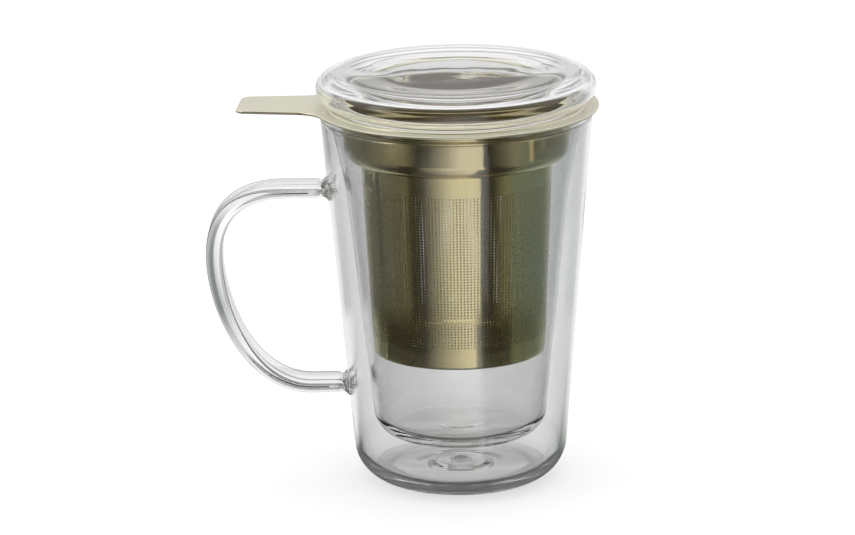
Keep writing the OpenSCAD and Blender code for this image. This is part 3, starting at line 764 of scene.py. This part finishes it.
dress(mug_glass, body_glass, "mug", "clear_glass", "outer_glass", "inner_glass")
dress(handle_glass, handle_clear, "mug", "clear_glass", "handle")
dress(plug_glass, silicone, "mug", "clear_silicone", "vent_plug")
dress(flange, flange_gold, "infuser", "gold_steel", "infuser_flange")
dress(collar, collar_gold, "infuser", "gold_steel", "infuser_collar")
dress(sleeve, sleeve_gold, "infuser", "gold_steel", "infuser_sleeve")
dress(pan, sleeve_gold, "infuser", "gold_steel", "infuser_pan")
dress(lid_glass, lid_clear, "lid", "clear_glass", "lid_glass")
paint_faces(mug_glass, foot_satin, under_foot)
# The inner faces of the collar and sleeve get the darker gold: painted shade
paint_faces(collar, shaded_inside_gold, looks_inward)
paint_faces(sleeve, shaded_inside_gold, looks_inward)


# ---------------------------------------------------------------- studio
# Broad cards and flags round the table, as degrees from the front (-Y) towards +X, and their colour:
# a white wall behind, green-grey room on both sides, a black flag on each side of the white window card.
# The lower sleeve mirrors the near ones, the upper sleeve the middle ones and the collar the far ones.
WALL = (0.95, 0.95, 0.95)
FLAG = (0.045, 0.045, 0.04)
MIDDLE_FROM, FAR_FROM = (0.165, 0.195), (0.33, 0.40)
CARDS_NEAR = [
    (-180, WALL), (-126, WALL), (-112, (0.17, 0.18, 0.16)), (-94, FLAG), (-40, FLAG),
    (-14, (0.50, 0.49, 0.47)), (5, (0.85, 0.84, 0.82)), (18, (1.0, 1.0, 0.98)), (21, (0.30, 0.31, 0.32)),
    (29, FLAG), (60, FLAG), (66, (0.19, 0.22, 0.18)), (104, (0.17, 0.20, 0.17)), (150, WALL),
]
CARDS_MIDDLE = [
    (-180, WALL), (-150, WALL), (-124, (0.21, 0.22, 0.22)), (-62, (0.20, 0.20, 0.19)), (-54, FLAG),
    (-40, FLAG), (-21, (0.50, 0.49, 0.47)), (-6, (0.90, 0.89, 0.87)), (25, (1.0, 1.0, 0.98)),
    (26, (0.22, 0.23, 0.24)), (29, FLAG), (40, FLAG), (55, (0.27, 0.28, 0.24)), (72, (0.23, 0.29, 0.27)),
    (122, (0.26, 0.30, 0.30)), (150, WALL),
]
CARDS_FAR = [
    (-180, WALL), (-137, (0.27, 0.28, 0.28)), (-100, (0.12, 0.12, 0.12)), (-54, (0.32, 0.31, 0.28)),
    (-38, FLAG), (-28, (0.10, 0.10, 0.09)), (-9, (0.50, 0.49, 0.47)), (3, (0.96, 0.96, 0.94)),
    (24, (0.96, 0.96, 0.94)), (25, FLAG), (31, FLAG), (56, (0.30, 0.31, 0.28)), (72, (0.17, 0.20, 0.17)),
    (73.5, (0.60, 0.56, 0.44)), (77, (0.60, 0.56, 0.44)), (79, (0.11, 0.12, 0.11)),
    (126, (0.24, 0.26, 0.26)), (150, WALL),
]


def card_ramp(nodes, links, angle, stops):
    """Colour ramp over a full turn, from (degrees, colour) pairs."""
    ramp = add(nodes, "ShaderNodeValToRGB")
    elements = ramp.color_ramp.elements
    while len(elements) < len(stops):
        elements.new(1.0)
    for element, (degrees, colour) in zip(elements, stops):
        element.position = (degrees + 180) / 360
        element.color = (*colour, 1)
    links.new(angle, ramp.inputs["Fac"])
    return ramp.outputs["Color"]


def studio_group():
    """Colour of the surroundings at a place on the table, by its angle and distance."""
    group = bpy.data.node_groups.new("studio_cards", "ShaderNodeTree")
    group.interface.new_socket("Vector", in_out="INPUT", socket_type="NodeSocketVector")
    group.interface.new_socket("Color", in_out="OUTPUT", socket_type="NodeSocketColor")
    nodes, links = group.nodes, group.links
    source = add(nodes, "NodeGroupInput")
    out = add(nodes, "NodeGroupOutput")
    parts = add(nodes, "ShaderNodeSeparateXYZ")
    front = add(nodes, "ShaderNodeMath", operation="MULTIPLY")
    front.inputs[1].default_value = -1.0
    angle = add(nodes, "ShaderNodeMath", operation="ARCTAN2")
    span = add(nodes, "ShaderNodeMapRange")
    span.inputs["From Min"].default_value = -math.pi
    span.inputs["From Max"].default_value = math.pi
    away = add(nodes, "ShaderNodeVectorMath", operation="LENGTH")
    links.new(source.outputs["Vector"], parts.inputs["Vector"])
    links.new(source.outputs["Vector"], away.inputs[0])
    links.new(parts.outputs["Y"], front.inputs[0])
    links.new(parts.outputs["X"], angle.inputs[0])
    links.new(front.outputs["Value"], angle.inputs[1])
    links.new(angle.outputs["Value"], span.inputs["Value"])
    shown = card_ramp(nodes, links, span.outputs["Result"], CARDS_NEAR)
    for stops, start, end in ((CARDS_MIDDLE, *MIDDLE_FROM), (CARDS_FAR, *FAR_FROM)):
        step = smooth_range(nodes, start, end)
        mix = add(nodes, "ShaderNodeMix", data_type="RGBA")
        links.new(away.outputs["Value"], step.inputs["Value"])
        links.new(step.outputs["Result"], mix.inputs["Factor"])
        links.new(shown, mix.inputs["A"])
        links.new(card_ramp(nodes, links, span.outputs["Result"], stops), mix.inputs["B"])
        shown = mix.outputs["Result"]
    links.new(shown, out.inputs["Color"])
    return group


def mirrored(nodes, links):
    """1 for a ray that metal or glass has mirrored, 0 for one that came straight or through glass."""
    path = add(nodes, "ShaderNodeLightPath")
    test = add(nodes, "ShaderNodeMath", operation="GREATER_THAN")
    test.inputs[1].default_value = 0.5
    links.new(path.outputs["Glossy Depth"], test.inputs[0])
    return test.outputs["Value"]


def mix_colours(nodes, a=None, b=None):
    mix = add(nodes, "ShaderNodeMix", data_type="RGBA")
    if a:
        mix.inputs["A"].default_value = (*a, 1)
    if b:
        mix.inputs["B"].default_value = (*b, 1)
    return mix


def build_world():
    """White for the camera and through glass. A mirrored ray sees a softer room: white overhead, pale
    behind, dark low in front, and a grey flag that hangs low behind the mug."""
    white, pale, dark, grey = (1.0, 1.0, 1.0), (0.90, 0.90, 0.90), (0.08, 0.075, 0.07), (0.40, 0.40, 0.40)
    world = bpy.data.worlds.new("studio")
    bpy.context.scene.world = world
    world.use_nodes = True
    nodes, links = world.node_tree.nodes, world.node_tree.links
    nodes.clear()
    out = add(nodes, "ShaderNodeOutputWorld")
    sky = add(nodes, "ShaderNodeBackground")
    sky.inputs["Strength"].default_value = 1.0
    place = add(nodes, "ShaderNodeTexCoord")
    parts = add(nodes, "ShaderNodeSeparateXYZ")
    links.new(place.outputs["Generated"], parts.inputs["Vector"])

    # Overhead begins lower in front than behind
    lift = add(nodes, "ShaderNodeMath", operation="MULTIPLY_ADD")
    lift.inputs[1].default_value = 0.272
    above = smooth_range(nodes, 0.56, 0.64)
    links.new(parts.outputs["Y"], lift.inputs[0])
    links.new(parts.outputs["Z"], lift.inputs[2])
    links.new(lift.outputs["Value"], above.inputs["Value"])

    # Below it, the room goes from dark in front to pale behind
    back = smooth_range(nodes, -0.75, -0.1)
    band = mix_colours(nodes, dark, pale)
    overhead = mix_colours(nodes, b=white)
    links.new(parts.outputs["Y"], back.inputs["Value"])
    links.new(back.outputs["Result"], band.inputs["Factor"])
    links.new(above.outputs["Result"], overhead.inputs["Factor"])
    links.new(band.outputs["Result"], overhead.inputs["A"])

    # The grey flag, as a band of heights and only behind
    flag = add(nodes, "ShaderNodeValToRGB")
    stops = flag.color_ramp.elements
    for position in (0.3, 0.4):
        stops.new(position)
    for stop, (position, level) in zip(stops, ((0.13, 0.0), (0.18, 1.0), (0.27, 1.0), (0.33, 0.0))):
        stop.position, stop.color = position, (level, level, level, 1)
    behind = smooth_range(nodes, 0.80, 0.92)
    hung = add(nodes, "ShaderNodeMath", operation="MULTIPLY")
    shade = mix_colours(nodes, b=grey)
    links.new(parts.outputs["Z"], flag.inputs["Fac"])
    links.new(parts.outputs["Y"], behind.inputs["Value"])
    links.new(flag.outputs["Color"], hung.inputs[0])
    links.new(behind.outputs["Result"], hung.inputs[1])
    links.new(hung.outputs["Value"], shade.inputs["Factor"])
    links.new(overhead.outputs["Result"], shade.inputs["A"])

    choose = mix_colours(nodes, a=white)
    links.new(shade.outputs["Result"], choose.inputs["B"])
    links.new(mirrored(nodes, links), choose.inputs["Factor"])
    links.new(choose.outputs["Result"], sky.inputs["Color"])
    links.new(sky.outputs["Background"], out.inputs["Surface"])


def build_table():
    """White for the camera and through glass. A mirrored ray sees a painted dark shadow under and just beside
    the mug, and the cards farther out.
    """
    reach, drop, painted_shadow_under_mug = 4, -0.0001, (0.10, 0.10, 0.10)
    corners = [(-reach, -reach, drop), (reach, -reach, drop), (reach, reach, drop), (-reach, reach, drop)]
    mesh = bpy.data.meshes.new("table")
    mesh.from_pydata(corners, [], [(0, 1, 2, 3)])
    table = bpy.data.objects.new("table", mesh)
    bpy.context.scene.collection.objects.link(table)
    material, nodes, links = new_material("table_white")
    mesh.materials.append(material)
    out = add(nodes, "ShaderNodeOutputMaterial")

    # Some light of its own, and a matt part that keeps the object's shadow
    white = add(nodes, "ShaderNodeEmission")
    white.inputs["Strength"].default_value = 0.62
    matt = add(nodes, "ShaderNodeBsdfDiffuse")
    matt.inputs["Color"].default_value = (0.42, 0.42, 0.42, 1)
    both = add(nodes, "ShaderNodeAddShader")
    links.new(white.outputs["Emission"], both.inputs[0])
    links.new(matt.outputs["BSDF"], both.inputs[1])

    # Painted shadow: dark within 34 mm of the middle, fading into the cards by 50 mm
    spot = add(nodes, "ShaderNodeNewGeometry")
    away = add(nodes, "ShaderNodeVectorMath", operation="LENGTH")
    clear_of_painted_shadow = smooth_range(nodes, 0.034, 0.05)
    around = add(nodes, "ShaderNodeGroup", node_tree=studio_group())
    cards = mix_colours(nodes, a=painted_shadow_under_mug)
    seen = add(nodes, "ShaderNodeEmission")
    links.new(spot.outputs["Position"], around.inputs["Vector"])
    links.new(spot.outputs["Position"], away.inputs[0])
    links.new(away.outputs["Value"], clear_of_painted_shadow.inputs["Value"])
    links.new(clear_of_painted_shadow.outputs["Result"], cards.inputs["Factor"])
    links.new(around.outputs["Color"], cards.inputs["B"])
    links.new(cards.outputs["Result"], seen.inputs["Color"])

    choose = add(nodes, "ShaderNodeMixShader")
    links.new(mirrored(nodes, links), choose.inputs["Fac"])
    links.new(both.outputs["Shader"], choose.inputs[1])
    links.new(seen.outputs["Emission"], choose.inputs[2])
    links.new(choose.outputs["Shader"], out.inputs["Surface"])
    return table


build_world()
floor = build_table()


def softbox(name, place, target, width, height, power):
    data = bpy.data.lights.new(name, "AREA")
    data.shape = "RECTANGLE"
    data.size, data.size_y = width, height
    data.energy = power
    lamp = bpy.data.objects.new(name, data)
    lamp.location = place
    lamp.rotation_euler = (Vector(target) - Vector(place)).to_track_quat("-Z", "Y").to_euler()
    bpy.context.scene.collection.objects.link(lamp)


softbox("top_light", (0.0, 0.15, 1.1), (0, 0, 0.05), width=0.9, height=0.7, power=2.3)
softbox("left_light", (-1.0, -0.35, 0.6), (0, 0, 0.06), width=0.35, height=0.8, power=1.2)

# ---------------------------------------------------------------- camera
TILT, ROLL = math.radians(15.47), math.radians(0.91)
CAMERA_AT, LENS = (-9.68, -1240.08, 410.71), 172.63

right = Vector((1, 0, 0))
forward = Vector((0, math.cos(TILT), -math.sin(TILT)))
up = right.cross(forward)
cam_x = math.cos(ROLL) * right - math.sin(ROLL) * up
cam_y = math.sin(ROLL) * right + math.cos(ROLL) * up
camera_data = bpy.data.cameras.new("camera")
camera_data.sensor_width = 36.0
camera_data.lens = LENS
camera_data.clip_start = 0.05
camera = bpy.data.objects.new("camera", camera_data)
turn = Matrix((cam_x, cam_y, -forward)).transposed().to_4x4()
camera.matrix_world = Matrix.Translation(Vector(CAMERA_AT) * MM) @ turn
bpy.context.scene.collection.objects.link(camera)
bpy.context.scene.camera = camera

# Glass in front of metal in front of glass: rays need many turns before they get out
scene = bpy.context.scene
scene.view_settings.view_transform = "Standard"
scene.cycles.max_bounces = 40
scene.cycles.transmission_bounces = 24
scene.cycles.glossy_bounces = 30

bpy.context.view_layer.update()
